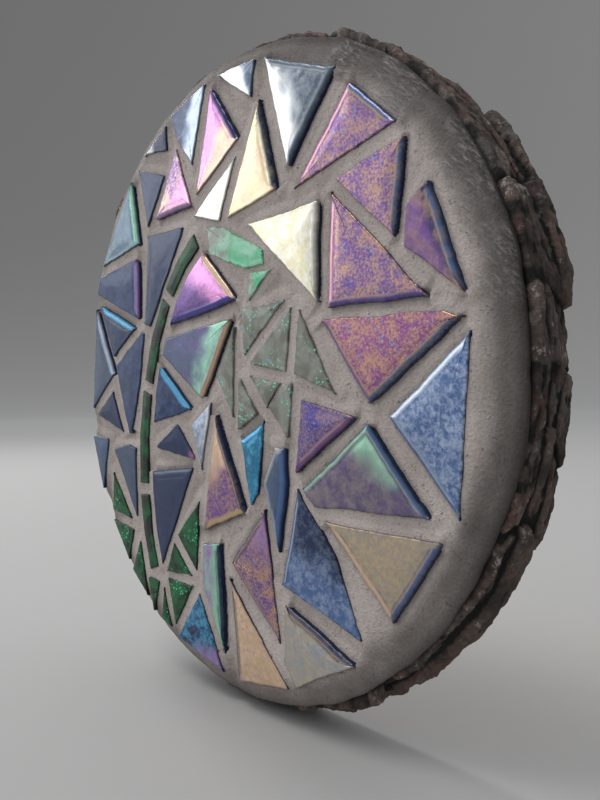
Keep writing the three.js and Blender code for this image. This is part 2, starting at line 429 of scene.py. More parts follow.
LUSTRES: dict[str, tuple[Lustre, ...]] = {
    "violet": (
        Lustre(Tone.PLUM, Tone.AMBER, 0.7, None, ((140, Tone.ROSE), (45, Tone.COBALT))),
        Lustre(Tone.PLUM, Tone.AMBER, 0.8, None, ((0, Tone.COBALT),)),
        Lustre(Tone.PLUM, Tone.AMBER, 0.8, None, ((180, Tone.ROSE), (-90, Tone.INDIGO), (0, Tone.JADE))),
        Lustre(Tone.WINE, Tone.AMBER, 0.8, None, ((-45, Tone.COBALT), (215, Tone.PLUM))),
        Lustre(Tone.INDIGO, Tone.AMBER, 0.5, None, ((-45, Tone.PLUM),)),
        Lustre(Tone.PLUM, Tone.AMBER, 0.9, (Tone.LILAC, 60, 0.3), ((135, Tone.DUSK), (230, Tone.PLUM))),
    ),
    "navy": (
        Lustre(Tone.NAVY, Tone.AMBER, 1.0, (Tone.PLUM, 200, -0.2), ((20, Tone.COBALT), (60, Tone.STEEL))),
        Lustre(Tone.DUSK, Tone.SLATE, 0.3, None, ((180, Tone.SLATE),)),
        Lustre(Tone.NAVY, Tone.STEEL, 0.3, None, ((0, Tone.LILAC),)),
        Lustre(Tone.DUSK, Tone.STEEL, 0.4, None, ((-80, Tone.STEEL),)),
        Lustre(Tone.DUSK, Tone.SLATE, 0.3),
        Lustre(Tone.INK, Tone.SLATE, 0.4, (Tone.WHITE, 180, 0.35)),
        Lustre(Tone.NAVY, Tone.STEEL, 0.4, None, ((50, Tone.SKY),)),
        Lustre(Tone.DUSK, Tone.NAVY, 0.5, None, ((90, Tone.SLATE),)),
        Lustre(Tone.NAVY, Tone.DUSK, 0.4, (Tone.ROSE, 0, 0.75)),
    ),
    "slate": (
        Lustre(Tone.SLATE, Tone.DUSK, 0.4, None, ((25, Tone.FROST),)),
        Lustre(Tone.NAVY, Tone.SLATE, 0.3, None, ((60, Tone.SKY),)),
        Lustre(Tone.DUSK, Tone.INK, 0.4),
        Lustre(Tone.SLATE, Tone.STEEL, 0.3, (Tone.WHITE, 90, 0.7), ((0, Tone.STEEL), (180, Tone.SILVER))),
        Lustre(Tone.SLATE, Tone.DUSK, 0.4),
        Lustre(Tone.SLATE, Tone.STEEL, 0.4),
    ),
    "steel": (
        Lustre(Tone.STEEL, Tone.FROST, 0.6, None, ((135, Tone.FROST), (215, Tone.STEEL))),
        Lustre(Tone.STEEL, Tone.FROST, 0.4, (Tone.NAVY, 70, 0.0), ((180, Tone.STEEL),)),
    ),
    "verdigris": (
        Lustre(Tone.MAUVE, Tone.STONE, 0.5, (Tone.MINT, 65, 0.35), ((140, Tone.JADE), (25, Tone.COBALT))),
        Lustre(Tone.SLATE, Tone.JADE, 0.4, None, ((0, Tone.MINT),)),
        Lustre(Tone.LILAC, Tone.MINT, 0.8, (Tone.MINT, 0, -0.2), ((0, Tone.NAVY),)),
    ),
    "gold": (
        Lustre(Tone.STONE, Tone.SAND, 0.7, None, ((225, Tone.PEACH), (-45, Tone.STEEL))),
        Lustre(Tone.PEACH, Tone.CREAM, 0.9, (Tone.CREAM, 90, 0.2), ((0, Tone.NAVY),)),
        Lustre(Tone.PEACH, Tone.SAND, 0.9, (Tone.LILAC, 200, 0.6), ((190, Tone.NAVY),)),
    ),
    "pearl": (
        Lustre(Tone.SILVER, Tone.SAND, 0.6, (Tone.CREAM, -60, 0.5), ((50, Tone.DUSK),)),
        Lustre(Tone.CREAM, Tone.WHITE, 0.8, None, ((0, Tone.STONE),)),
        Lustre(Tone.SLATE, Tone.SILVER, 0.5, (Tone.WHITE, 205, 0.0), ((50, Tone.SLATE), (-60, Tone.SLATE))),
        Lustre(Tone.WHITE, Tone.CREAM, 0.5),
        Lustre(Tone.WHITE, Tone.FROST, 0.4, (Tone.SLATE, 20, 0.2)),
        Lustre(Tone.DUSK, Tone.SLATE, 0.3, (Tone.FROST, -20, -0.1)),
    ),
    "rose": (
        Lustre(Tone.ROSE, Tone.LILAC, 0.6, (Tone.PEACH, -40, 0.0), ((20, Tone.NAVY),)),
        Lustre(Tone.PLUM, Tone.PEACH, 0.8, (Tone.ROSE, -60, 0.1), ((-80, Tone.LILAC),)),
        Lustre(Tone.PLUM, Tone.DUSK, 0.5, (Tone.ROSE, 50, 0.0), ((45, Tone.PEACH), (-90, Tone.INDIGO))),
        Lustre(Tone.PLUM, Tone.AMBER, 0.6, (Tone.PEACH, 110, 0.1), ((-75, Tone.SAND), (20, Tone.NAVY))),
    ),
    "azure": (
        Lustre(Tone.TEAL, Tone.SKY, 0.9, None, ((120, Tone.SKY),)),
        Lustre(Tone.SLATE, Tone.PLUM, 0.5, (Tone.MINT, -20, 0.1), ((-30, Tone.SAND),)),
        Lustre(Tone.NAVY, Tone.SKY, 0.8, (Tone.LILAC, -80, 0.2)),
        Lustre(Tone.FROST, Tone.SLATE, 0.6, (Tone.WHITE, -10, 0.2)),
    ),
    "petal": (Lustre(Tone.SAGE, Tone.SMOKE, 0.9, None, (), Tone.SAGE),),
    "calyx": (Lustre(Tone.PALE_GREEN, Tone.MINT, 0.9, (Tone.SMOKE, 190, 0.1), (), Tone.SAGE),),
    "leaf": (Lustre(Tone.EMERALD, Tone.BOTTLE, 0.9, None, (), Tone.BOTTLE),),
    "stem": (Lustre(Tone.BOTTLE, Tone.EMERALD, 0.3, None, (), Tone.BOTTLE),),
}


# ---------------------------------------------------------------- materials


class Graph:
    """A material's nodes, with short ways to add them."""

    def __init__(self, name: str) -> None:
        """Starts an empty material called name, with its Principled shader and output."""
        self.material = bpy.data.materials.new(name)
        self.material.use_nodes = True
        self.tree = self.material.node_tree
        self.tree.nodes.clear()
        self.shader = self.tree.nodes.new("ShaderNodeBsdfPrincipled")
        output = self.tree.nodes.new("ShaderNodeOutputMaterial")
        self.tree.links.new(self.shader.outputs["BSDF"], output.inputs["Surface"])
        self.place = self.tree.nodes.new("ShaderNodeTexCoord").outputs["Object"]

    def put(self, socket: bpy.types.NodeSocket, value: object) -> None:
        """Links value to socket if it is an output, or sets it as the socket's own value."""
        if isinstance(value, bpy.types.NodeSocket):
            self.tree.links.new(value, socket)
        else:
            socket.default_value = value

    def plain(self, **values: object) -> None:
        """Sets the shader's sockets: underscores in the names stand for spaces."""
        for name, value in values.items():
            self.put(self.shader.inputs[name.replace("_", " ")], value)

    def stretch(self, along: tuple[float, float, float]) -> bpy.types.NodeSocket:
        """Object coordinates times along, axis by axis."""
        node = self.tree.nodes.new("ShaderNodeMapping")
        node.inputs["Scale"].default_value = along
        self.put(node.inputs["Vector"], self.place)
        return node.outputs["Vector"]

    def combed(self, turn: float, longer: float) -> bpy.types.NodeSocket:
        """Object coordinates turned about Y by turn radians, with their Z drawn out longer times."""
        node = self.tree.nodes.new("ShaderNodeMapping")
        node.vector_type = "TEXTURE"
        node.inputs["Rotation"].default_value = (0.0, turn, 0.0)
        node.inputs["Scale"].default_value = (1.0, 1.0, longer)
        self.put(node.inputs["Vector"], self.place)
        return node.outputs["Vector"]

    def noise(
        self, lump: float, detail: float = 3.0, rough: float = 0.55, **extra: object
    ) -> bpy.types.NodeSocket:
        """Noise whose lumps are about lump metres across.

        Args:
            lump: Size of the coarsest lumps, metres.
            detail: Octaves.
            rough: Weight of the finer octaves.
            extra: vector, the coordinates to read, or bend, how far the pattern is bent.

        Returns:
            The noise, about 0 to 1.
        """
        node = self.tree.nodes.new("ShaderNodeTexNoise")
        node.inputs["Scale"].default_value = 1.0 / lump
        node.inputs["Detail"].default_value = detail
        node.inputs["Roughness"].default_value = rough
        node.inputs["Distortion"].default_value = extra.get("bend", 0.0)
        self.put(node.inputs["Vector"], extra.get("vector", self.place))
        return node.outputs["Fac"]

    def cells(self, width: float) -> bpy.types.Node:
        """Scattered cells about width metres across."""
        node = self.tree.nodes.new("ShaderNodeTexVoronoi")
        node.inputs["Scale"].default_value = 1.0 / width
        self.put(node.inputs["Vector"], self.place)
        return node

    def parts(self, colour: bpy.types.NodeSocket) -> bpy.types.bpy_prop_collection:
        """A colour's red, green and blue, as three sockets."""
        node = self.tree.nodes.new("ShaderNodeSeparateColor")
        self.put(node.inputs[0], colour)
        return node.outputs

    def math(self, kind: str, first: object, second: object = 0.0) -> bpy.types.NodeSocket:
        """One Math node of that kind."""
        node = self.tree.nodes.new("ShaderNodeMath")
        node.operation = kind
        self.put(node.inputs[0], first)
        self.put(node.inputs[1], second)
        return node.outputs[0]

    def times(self, first: object, *rest: object) -> bpy.types.NodeSocket:
        """The product of all its arguments."""
        for value in rest:
            first = self.math("MULTIPLY", first, value)
        return first

    def ease(self, value: bpy.types.NodeSocket, low: float, high: float) -> bpy.types.NodeSocket:
        """Eases value from 0 at low to 1 at high, which may be below low."""
        node = self.tree.nodes.new("ShaderNodeMapRange")
        node.interpolation_type = "SMOOTHSTEP"
        node.inputs["From Min"].default_value = low
        node.inputs["From Max"].default_value = high
        self.put(node.inputs["Value"], value)
        return node.outputs["Result"]

    def span(self, value: bpy.types.NodeSocket, low: float, high: float) -> bpy.types.NodeSocket:
        """Carries value's 0 to 1 over to low to high."""
        node = self.tree.nodes.new("ShaderNodeMapRange")
        node.inputs["To Min"].default_value = low
        node.inputs["To Max"].default_value = high
        self.put(node.inputs["Value"], value)
        return node.outputs["Result"]

    def mix(self, share: object, first: object, second: object, kind: str = "MIX") -> bpy.types.NodeSocket:
        """Mixes two colours.

        Args:
            share: How much of the second shows.
            first: The first colour, or a socket.
            second: The second colour, or a socket.
            kind: How they are blended.

        Returns:
            The mixed colour.
        """
        node = self.tree.nodes.new("ShaderNodeMix")
        node.data_type = "RGBA"
        node.blend_type = kind
        colours = {socket.name: socket for socket in node.inputs if socket.type == "RGBA"}
        self.put(node.inputs["Factor"], share)
        self.put(colours["A"], first)
        self.put(colours["B"], second)
        return next(socket for socket in node.outputs if socket.type == "RGBA")

    def paint(self, name: str) -> bpy.types.Node:
        """Reads a colour laid on the mesh."""
        node = self.tree.nodes.new("ShaderNodeAttribute")
        node.attribute_name = name
        return node

    def bump(self, height: bpy.types.NodeSocket, rise: float) -> bpy.types.NodeSocket:
        """Raises the surface by height times rise metres."""
        node = self.tree.nodes.new("ShaderNodeBump")
        node.inputs["Distance"].default_value = rise
        self.put(node.inputs["Height"], height)
        return node.outputs["Normal"]


@dataclass(frozen=True)
class LustreGlass:
    """Glass under a thin metal film, finely mottled and smooth."""

    name: str
    mottle: float
    sparks: Tone
    spark_share: float
    drift: Tone = Tone.INDIGO
    drift_share: float = 0.3
    blur: float = 0.05
    metal: float = 0.70
    rough: float = 0.24
    spread: float = 0.06
    coat: float = 0.3
    spark_width: float = 0.9 * MM
    relief: float = 0.015 * MM

    def build(self) -> bpy.types.Material:
        """Makes the finish: the laid glaze, broken by fine flecks, drifts of one more colour and sparks."""
        graph = Graph(self.name)
        glaze, fleck = graph.paint("glaze"), graph.paint("fleck")
        much = fleck.outputs["Alpha"]
        fine = graph.noise(self.mottle, 7.0, 0.72, bend=0.3)
        wide = graph.noise(self.mottle * 6.0, 3.0, 0.6)
        lean = graph.math("ADD", fine, graph.times(graph.math("SUBTRACT", wide, 0.5), 0.4))
        patch = graph.times(graph.ease(lean, 0.51 - self.blur, 0.51 + self.blur), much)
        film = graph.mix(patch, glaze.outputs["Color"], fleck.outputs["Color"])
        other = graph.noise(self.mottle * 1.2, 6.0, 0.7, vector=graph.stretch((0.8, 1.0, 1.1)))
        drift = graph.times(
            graph.ease(other, 0.52, 0.62), graph.ease(wide, 0.64, 0.42), self.drift_share, much
        )
        film = graph.mix(drift, film, tuple(self.drift.linear()))
        dots = graph.cells(self.spark_width)
        lit = graph.times(graph.ease(graph.parts(dots.outputs["Color"])[0], 0.86, 0.94), self.spark_share)
        round_off = graph.ease(dots.outputs["Distance"], 0.45, 0.20)
        spark = graph.times(lit, round_off, graph.ease(wide, 0.60, 0.46), much)
        film = graph.mix(spark, film, tuple(self.sparks.linear()))
        shade = graph.span(graph.noise(self.mottle * 0.6, 4.0, 0.7), 0.72, 1.30)
        rough = graph.span(fine, self.rough - self.spread, self.rough + self.spread)
        graph.plain(Base_Color=graph.mix(1.0, film, shade, "MULTIPLY"), Metallic=self.metal, Roughness=rough)
        graph.plain(Coat_Weight=self.coat, Coat_Roughness=0.05, Coat_IOR=1.5, Specular_IOR_Level=0.2)
        graph.plain(Normal=graph.bump(fine, self.relief))
        return graph.material


@dataclass(frozen=True)
class GlitterGlass:
    """Clear glass over a leaf of glitter."""

    name: str
    glitter: Tone
    # painted sparkle: a bright tone for some glitter flakes, standing in for light they catch
    bright: Tone
    flake: float
    cover: float
    coat: float = 0.4
    depth: float = 5.0 * MM
    cluster: float = 6.0 * MM
    relief: float = 0.01 * MM

    def build(self) -> bpy.types.Material:
        """Makes the finish: cells of glitter, a few lit bright and lying in drifts, under a smooth coat."""
        graph = Graph(self.name)
        glaze, fleck = graph.paint("glaze"), graph.paint("fleck")
        depth = graph.noise(self.depth, 3.0, 0.6, bend=0.6)
        body = graph.mix(graph.ease(depth, 0.4, 0.65), glaze.outputs["Color"], fleck.outputs["Color"])
        cells = graph.cells(self.flake)
        red, green, blue = graph.parts(cells.outputs["Color"])
        drift = graph.ease(graph.noise(self.cluster, 2.0, 0.5), 0.44, 0.60)
        round_off = graph.ease(cells.outputs["Distance"], 0.52, 0.30)
        # lit flakes: glitter with painted sparkle, partly its own colour and partly painted highlight
        lit = graph.ease(red, 0.96 - self.cover, 1.0 - self.cover)
        lit = graph.times(lit, drift, round_off, fleck.outputs["Alpha"])
        pick = graph.ease(green, 0.70, 0.90)
        flakes = graph.mix(pick, tuple(self.glitter.linear()), tuple(self.bright.linear()))
        graph.plain(Base_Color=graph.mix(lit, body, flakes), Roughness=0.32, Specular_IOR_Level=0.3)
        graph.plain(Coat_Weight=self.coat, Coat_Roughness=0.04, Coat_IOR=1.5)
        graph.plain(Normal=graph.bump(blue, self.relief))
        return graph.material


@dataclass(frozen=True)
class SandyGrout:
    """Warm grey cement with sand in it, brushed while wet."""

    name: str = "sandy grout"
    shaded: Colour = (0.46, 0.402, 0.372, 1.0)
    pale: Colour = (0.60, 0.530, 0.493, 1.0)
    pore: Colour = (0.17, 0.148, 0.134, 1.0)
    # pale tone of the brushed strokes: a painted highlight on their ridges
    stroke_highlight: Colour = (0.50, 0.465, 0.445, 1.0)
    drift_size: float = 14.0 * MM
    sand_size: float = 0.6 * MM
    pore_size: float = 1.0 * MM
    stroke_size: float = 0.6 * MM
    stroke_turn: float = math.radians(-50.0)
    stroke_stretch: float = 5.0
    relief: float = 0.5 * MM

    def build(self) -> bpy.types.Material:
        """Makes the finish: drifts, sand, dark pores, and pale strokes where the laid mask says brushed."""
        graph = Graph(self.name)
        laid = graph.paint("glaze")
        drift = graph.noise(self.drift_size, 4.0, 0.6)
        sand = graph.noise(self.sand_size, 3.0, 0.7)
        body = graph.mix(graph.ease(drift, 0.35, 0.68), self.shaded, self.pale)
        body = graph.mix(1.0, body, graph.span(sand, 0.60, 1.36), "MULTIPLY")
        # the laid colour is painted shade: darker near the border and most of all on the right
        body = graph.mix(1.0, body, laid.outputs["Color"], "MULTIPLY")
        lines = graph.combed(self.stroke_turn, self.stroke_stretch)
        comb = graph.noise(self.stroke_size, 4.0, 0.65, vector=lines)
        stroke = graph.times(graph.ease(comb, 0.36, 0.66), laid.outputs["Alpha"])
        # pale strokes: a painted highlight on the brushed ridges
        body = graph.mix(graph.times(stroke, 0.50), body, self.stroke_highlight)
        pores = graph.ease(graph.noise(self.pore_size, 2.0), 0.66, 0.76)
        body = graph.mix(graph.times(pores, 0.4), body, self.pore)
        relief = graph.math("ADD", graph.math("SUBTRACT", sand, graph.times(pores, 0.6)), stroke)
        graph.plain(Base_Color=body, Roughness=0.95, Normal=graph.bump(relief, self.relief))
        return graph.material


@dataclass(frozen=True)
class BarkAndWood:
    """Flaking bark round a slice of sawn wood."""

    name: str = "bark and sawn wood"
    dark: Colour = (0.045, 0.034, 0.029, 1.0)
    brown: Colour = (0.120, 0.086, 0.070, 1.0)
    reddish: Colour = (0.160, 0.076, 0.056, 1.0)
    greyish: Colour = (0.150, 0.142, 0.130, 1.0)
    flake: Colour = (0.36, 0.31, 0.285, 1.0)
    # painted shade in the cracks, near black
    crack_shade: Colour = (0.007, 0.006, 0.005, 1.0)
    late_wood: Colour = (0.34, 0.225, 0.135, 1.0)
    early_wood: Colour = (0.56, 0.42, 0.28, 1.0)
    stain: Colour = (0.20, 0.125, 0.07, 1.0)
    ring_step: float = 2.6 * MM
    relief: float = 0.5 * MM

    def bark(self, graph: Graph, height: object, streak: object) -> bpy.types.NodeSocket:
        """Bark: lumps, two drifts of colour, strips along the trunk, pale flakes and painted shade in cracks.

        The shade in the cracks is near black.

        Args:
            graph: The material's nodes.
            height: How clear each point stands, 0 in a crack to 1 on a ridge.
            streak: Where the bark flakes, 0 to 1.

        Returns:
            The bark's colour.
        """
        coarse = graph.noise(7.0 * MM, 5.0, 0.65, bend=0.4)
        bark = graph.mix(graph.ease(coarse, 0.38, 0.60), self.dark, self.brown)
        warm = graph.ease(graph.noise(11.0 * MM, 3.0, 0.6), 0.50, 0.62)
        bark = graph.mix(graph.times(warm, 0.5), bark, self.reddish)
        cool = graph.ease(graph.noise(8.0 * MM, 4.0, 0.7), 0.55, 0.64)
        bark = graph.mix(graph.times(cool, 0.55), bark, self.greyish)
        bark = graph.mix(1.0, bark, graph.span(self.strips(graph), 0.55, 1.45), "MULTIPLY")
        speckle = graph.ease(graph.noise(1.1 * MM, 4.0, 0.7), 0.48, 0.62)
        flake = graph.times(speckle, graph.ease(streak, 0.50, 0.85), graph.ease(height, 0.55, 0.85))
        bark = graph.mix(flake, bark, self.flake)
        # painted shade: near black where the bark stands least clear, in the cracks
        return graph.mix(graph.ease(height, 0.62, 0.20), bark, self.crack_shade)

    def strips(self, graph: Graph) -> bpy.types.NodeSocket:
        """Fine noise drawn out along the face of the bark."""
        return graph.noise(1.6 * MM, 4.0, 0.65, vector=graph.stretch((1.0, 2.6, 1.0)))

    def rings(self, graph: Graph) -> bpy.types.NodeSocket:
        """Growth rings: 0.5 + 0.5 sin(2 pi (r + bend) / step), with r the distance from the heart.

        Args:
            graph: The material's nodes.

        Returns:
            0 in late wood to 1 in early wood.
        """
        length = graph.tree.nodes.new("ShaderNodeVectorMath")
        length.operation = "LENGTH"
        graph.put(length.inputs[0], graph.stretch((1.0, 0.0, 1.0)))
        bend = graph.times(graph.noise(30.0 * MM, 3.0), 12.0 * MM)
        reach = graph.math("ADD", length.outputs["Value"], bend)
        wave = graph.math("SINE", graph.times(reach, TURN / self.ring_step))
        return graph.span(graph.times(wave, 0.5), 0.5, 1.0)

    def build(self) -> bpy.types.Material:
        """Makes the finish: bark where the mask says, and sawn wood with rings and stains on the rest."""
        graph = Graph(self.name)
        sawn, height, streak = graph.parts(graph.paint("glaze").outputs["Color"])
        fine = graph.noise(1.1 * MM, 4.0, 0.7)
        rings = self.rings(graph)
        stains = graph.ease(graph.noise(7.0 * MM, 5.0, 0.65, bend=0.4), 0.5, 0.7)
        wood = graph.mix(rings, self.late_wood, self.early_wood)
        wood = graph.mix(graph.times(stains, 0.35), wood, self.stain)
        film = graph.mix(sawn, self.bark(graph, height, streak), wood)
        relief = graph.math("ADD", graph.math("ADD", fine, self.strips(graph)), graph.times(rings, 0.2))
        graph.plain(Base_Color=film, Roughness=graph.span(fine, 0.70, 0.95))
        graph.plain(Normal=graph.bump(relief, self.relief))
        return graph.material


FINISHES: dict[str, LustreGlass | GlitterGlass] = {
    "violet_glass": LustreGlass("violet lustre", 0.6 * MM, Tone.SKY, 1.0, Tone.INDIGO, 0.9, 0.11),
    "navy_glass": LustreGlass("navy lustre", 3.0 * MM, Tone.STEEL, 0.1, Tone.INK, 0.4, 0.15, 0.2, coat=0.18),
    "slate_glass": LustreGlass(
        "slate lustre", 3.0 * MM, Tone.SILVER, 0.1, Tone.DUSK, 0.4, 0.15, 0.2, coat=0.18
    ),
    "steel_glass": LustreGlass("steel lustre", 1.2 * MM, Tone.FROST, 0.1, Tone.NAVY, 0.3, 0.13, 0.5),
    "verdigris_glass": LustreGlass("verdigris lustre", 2.4 * MM, Tone.LILAC, 0.15, Tone.SLATE, 0.4, 0.15),
    "gold_glass": LustreGlass("gold lustre", 1.4 * MM, Tone.LILAC, 0.2, Tone.LILAC, 0.4, 0.15),
    "pearl_glass": LustreGlass("pearl lustre", 1.6 * MM, Tone.SAND, 0.15, Tone.CREAM, 0.3, 0.15, 0.6),
    "rose_glass": LustreGlass("rose lustre", 1.0 * MM, Tone.LILAC, 0.35, Tone.LILAC, 0.4, 0.1),
    "azure_glass": LustreGlass("azure lustre", 1.6 * MM, Tone.MINT, 0.3, Tone.INDIGO, 0.4, 0.12),
    "petal_glass": GlitterGlass("petal glass", Tone.GLINT, Tone.SKY, 0.6 * MM, 0.32),
    "calyx_glass": GlitterGlass("calyx glass", Tone.GLINT, Tone.FERN, 0.5 * MM, 0.55),
    "leaf_glass": GlitterGlass("leaf glass", Tone.FERN, Tone.GLINT, 0.6 * MM, 0.60, 0.10),
    "stem_glass": GlitterGlass("stem glass", Tone.EMERALD, Tone.FERN, 0.6 * MM, 0.12, 0.10),
}


# ---------------------------------------------------------------- the shards


@dataclass
class ShardShape:
    """One shard of moulded tile, cut to an outline and bedded in the grout."""

    name: str
    corners: np.ndarray
    lustre: Lustre
    seed: float
    steps: int = 112
    corner_round: float = 0.5 * MM
    bite: float = 0.42 * MM
    shoulder: float = 1.6 * MM
    shoulder_most: float = 0.6  # of the way in to the middle
    shoulder_drop: float = 0.75 * MM
    cut_round: float = 0.35 * MM
    cut_drop: float = 0.22 * MM
    dish: float = 0.10 * MM
    dish_width: float = 0.35 * MM
    ripple: float = 0.05 * MM
    ripple_length: float = 4.0 * MM
    crown: float = 0.12 * MM
    contour: float = 0.30 * MM
    side_fleck: float = 0.12
    draws: tuple[float, ...] = (
        0.0, 0.012, 0.028, 0.05, 0.08, 0.115, 0.155, 0.20, 0.255, 0.32, 0.40, 0.51, 0.65, 0.83
    )
    side_levels: tuple[float, ...] = (0.0, 0.45, 0.75, 0.95)

    def outline(self) -> np.ndarray:
        """The worn outline of the shard."""
        return worn_outline(self.corners, self.steps, self.corner_round, self.bite, self.seed)

    def shoulders(self, facing: np.ndarray) -> np.ndarray:
        """How far each point belongs to a moulded edge: the most that it is turned to any of their bearings.

        Args:
            facing: Bearings of the nearest edges, radians.

        Returns:
            0 on cut edges to 1 on moulded ones.
        """
        share = np.zeros(facing.shape)
        for bearing, _ in self.lustre.edges:
            share = np.maximum(share, turned_to(facing, bearing))
        return share

    def shoulder_reach(self, distance: np.ndarray) -> float:
        """How far in a moulded shoulder comes: its own width, or a share of the way to the middle."""
        return min(self.shoulder, self.shoulder_most * distance.max())

    def height(self, places: np.ndarray, distance: np.ndarray, facing: np.ndarray) -> np.ndarray:
        """Height of the top: T - drop (1 - sqrt(1 - (1 - d / w)^2)) - dish, with a ripple and a crown.

        d is the distance to the edge; w and drop grow from a cut edge to a moulded one.

        Args:
            places: Points (across, up), (n, 2), metres.
            distance: Distances to the outline, metres.
            facing: Bearings of the nearest edges.

        Returns:
            Heights out of the wall, metres.
        """
        moulded = self.shoulders(facing)
        width = self.cut_round + moulded * (self.shoulder_reach(distance) - self.cut_round)
        drop = self.cut_drop + moulded * (self.shoulder_drop - self.cut_drop)
        part = np.clip(1.0 - distance / width, 0.0, 1.0)
        fall = drop * (1.0 - np.sqrt(1.0 - part * part))
        well = self.dish * moulded * np.exp(-(((distance - 1.15 * width) / self.dish_width) ** 2))
        waves = self.ripple * flat_grain(places[:, 0], places[:, 1], self.ripple_length, self.seed, 2)
        waves = waves * smooth(0.0, 1.0, distance / MM) - self.ripple
        crown = self.crown * (smooth(0.0, 1.0, distance / distance.max()) - 1.0)
        return GLASS_TOP - fall - well + waves + crown

    def colours(
        self, places: np.ndarray, distance: np.ndarray, facing: np.ndarray
    ) -> tuple[np.ndarray, np.ndarray]:
        """Lays the film: body, then the sweep, then each shoulder with a glint and a dark line inside it.

        Pale sweeps are painted reflection of a bright window; bright shoulder bands are painted highlights,
        and navy and cobalt ones painted shade on the dark glass side.

        Args:
            places: Points (across, up), (n, 2).
            distance: Distances to the outline.
            facing: Bearings of the nearest edges.

        Returns:
            The glaze and the fleck, each (n, 4); the fleck's last value is how much of it shows.
        """
        film = self.lustre
        glaze = np.tile(film.body.linear(), (len(places), 1))
        fleck = np.tile(film.fleck.linear(), (len(places), 1))
        fleck[:, 3] = film.share
        # white, frost, cream and peach sweeps are painted reflection; other sweeps are the film's own colour
        if film.sweep:
            tone, bearing, start = film.sweep
            way = np.array([math.cos(math.radians(bearing)), math.sin(math.radians(bearing))])
            along = (places - places.mean(axis=0)) @ way
            ragged = 0.22 * flat_grain(places[:, 0], places[:, 1], 3.0 * MM, self.seed + 3.0, 3)
            cover = smooth(start - 0.15, start + 0.30, along / np.abs(along).max() + ragged)[:, None]
            glaze = glaze + cover * (tone.linear() - glaze)
            fleck[:, 3] *= 1.0 - 0.6 * cover[:, 0]
        reach = self.shoulder_reach(distance)
        # bright shoulder bands are painted highlights, navy and cobalt ones painted shade
        for bearing, tone in film.edges:
            faces = turned_to(facing, bearing)
            band = (faces * smooth(1.08, 0.82, distance / reach))[:, None]
            glaze = glaze + band * (tone.linear() - glaze)
            fleck[:, 3] *= 1.0 - 0.75 * band[:, 0]
            glint = (0.7 * faces * np.exp(-(((distance - 0.7 * reach) / (0.22 * MM)) ** 2)))[:, None]
            glaze = glaze + glint * (film.fleck.linear() - glaze)
            line = faces * np.exp(-(((distance - reach) / (0.16 * MM)) ** 2))
            glaze[:, :3] *= 1.0 - 0.45 * line[:, None]
        rim = 0.6 * np.exp(-((distance / self.contour) ** 2))
        glaze[:, :3] *= 1.0 - rim[:, None]
        return glaze, fleck

    def build(self) -> bpy.types.Object:
        """Makes the shard: upright sides, then rings drawn in to the middle, q = c + (1 - s)(p - c).

        Returns:
            The shard's object.
        """
        rim = self.outline()
        middle = rim.mean(axis=0)
        draws = np.array(self.draws)
        places = middle + (1.0 - draws)[:, None, None] * (rim - middle)
        flat = places.reshape(-1, 2)
        distance, facing = EdgeField(rim).measure(flat)
        tops = self.height(flat, distance, facing).reshape(len(draws), -1)
        glaze, fleck = self.colours(flat, distance, facing)
        levels = np.array(self.side_levels)[:, None]
        heights = np.vstack([GLASS_FOOT + levels * (tops[0] - GLASS_FOOT), tops])
        walls = np.broadcast_to(rim, (len(levels),) + rim.shape)
        outline = np.concatenate([walls, places])
        rows = spot(outline[..., 0], outline[..., 1], heights)
        side = np.tile(self.lustre.side.linear(), (len(levels), self.steps, 1))
        quiet = side.copy()
        quiet[..., 3] = self.side_fleck
        shape = (len(draws), self.steps, 4)
        glaze = np.concatenate([side, glaze.reshape(shape)])
        fleck = np.concatenate([quiet, fleck.reshape(shape)])
        return Skin(self.name, rows, {"glaze": glaze, "fleck": fleck}).build()


@dataclass
class Mosaic:
    """All the shards: those that the CAD holds, and the small ones that only show here."""

    extras: dict[str, tuple[tuple[float, float], ...]] = field(
        default_factory=lambda: {
            "petal_glass_6": ((12.0, -7.0), (19.5, -2.0), (18.2, -14.0)),
            "petal_glass_7": ((1.0, -0.8), (7.3, -8.8), (0.3, -12.6)),
            "navy_glass_9": ((-36.0, -18.3), (-26.0, -12.0), (-18.5, -20.3)),
            "slate_glass_6": ((-72.0, -16.5), (-63.0, -17.0), (-66.5, -32.0)),
            "leaf_glass_7": ((-41.5, -54.5), (-36.2, -55.0), (-39.0, -63.5)),
            "leaf_glass_8": ((-33.8, -55.8), (-35.3, -64.8), (-30.2, -66.2)),
        }
    )
    seed_step: float = 3.7
    shapes: list[ShardShape] = field(default_factory=list)
    stock: dict[str, bpy.types.Material] = field(default_factory=dict)

    def make(self, name: str, corners: np.ndarray) -> bpy.types.Object:
        """Makes one shard, dresses it, and lets it ride.

        Args:
            name: The piece's name: its slot and its number in its family.
            corners: Its corners, metres.

        Returns:
            The shard's object.
        """
        slot, number = name.rsplit("_", 1)
        if slot not in self.stock:
            self.stock[slot] = FINISHES[slot].build()
        films = LUSTRES[slot.split("_")[0]]
        lustre = films[min(int(number), len(films)) - 1]
        shape = ShardShape(name, corners, lustre, seed=self.seed_step * len(self.shapes))
        piece = shape.build()
        piece.data.materials.append(self.stock[slot])
        self.shapes.append(shape)
        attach(piece, "root")
        LOG.info("%s: %d faces", piece.name, len(piece.data.polygons))
        return piece

    def build(self) -> None:
        """Makes every shard: CAD ones on their own outlines, the others on theirs."""
        for node in sorted(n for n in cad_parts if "_shard_" in n):
            piece = self.make(node.replace("_shard_", "_glass_"), node_outline(node))
            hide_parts(node)
        for name, corners in self.extras.items():
            self.make(name, np.array(corners) * MM)


# ---------------------------------------------------------------- the grout


